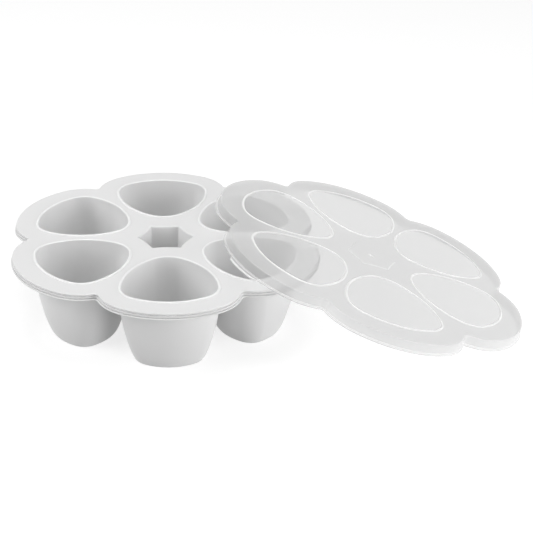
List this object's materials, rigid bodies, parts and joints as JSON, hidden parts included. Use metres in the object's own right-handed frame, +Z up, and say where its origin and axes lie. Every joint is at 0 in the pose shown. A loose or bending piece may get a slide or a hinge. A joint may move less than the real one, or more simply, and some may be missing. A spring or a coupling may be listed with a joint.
{
  "type": "baby food freezer tray",
  "caption": "Soft freezer tray of rounded cups set like petals round a centre well, with a translucent snap lid that leans against its rim.",
  "frame": {"origin": "on the table, in the middle of the box round the tray and its leaning lid", "axes": "+X from the tray towards the lid that leans on it, the longest way across; +Y to the back; +Z up, the shortest way"},
  "size_m": [0.3216, 0.2194, 0.07],
  "materials": {
    "silicone": "satin, pale grey moulded silicone",
    "lid_plastic": "frosted translucent moulded plastic"
  },
  "bodies": {
    "tray": {"tray_deck": "silicone", "cup_1": "silicone", "cup_2": "silicone", "cup_3": "silicone", "cup_4": "silicone", "cup_5": "silicone", "cup_6": "silicone", "centre_well": "silicone"},
    "lid": {"lid_panel": "lid_plastic", "lid_skirt": "lid_plastic", "lid_tab": "lid_plastic"}
  },
  "joints": [
    {"name": "lid_lift", "type": "slide", "parent": "tray", "child": "lid", "axis": [0, 0, 1], "range_m": [0, 0.1]}
  ]
}
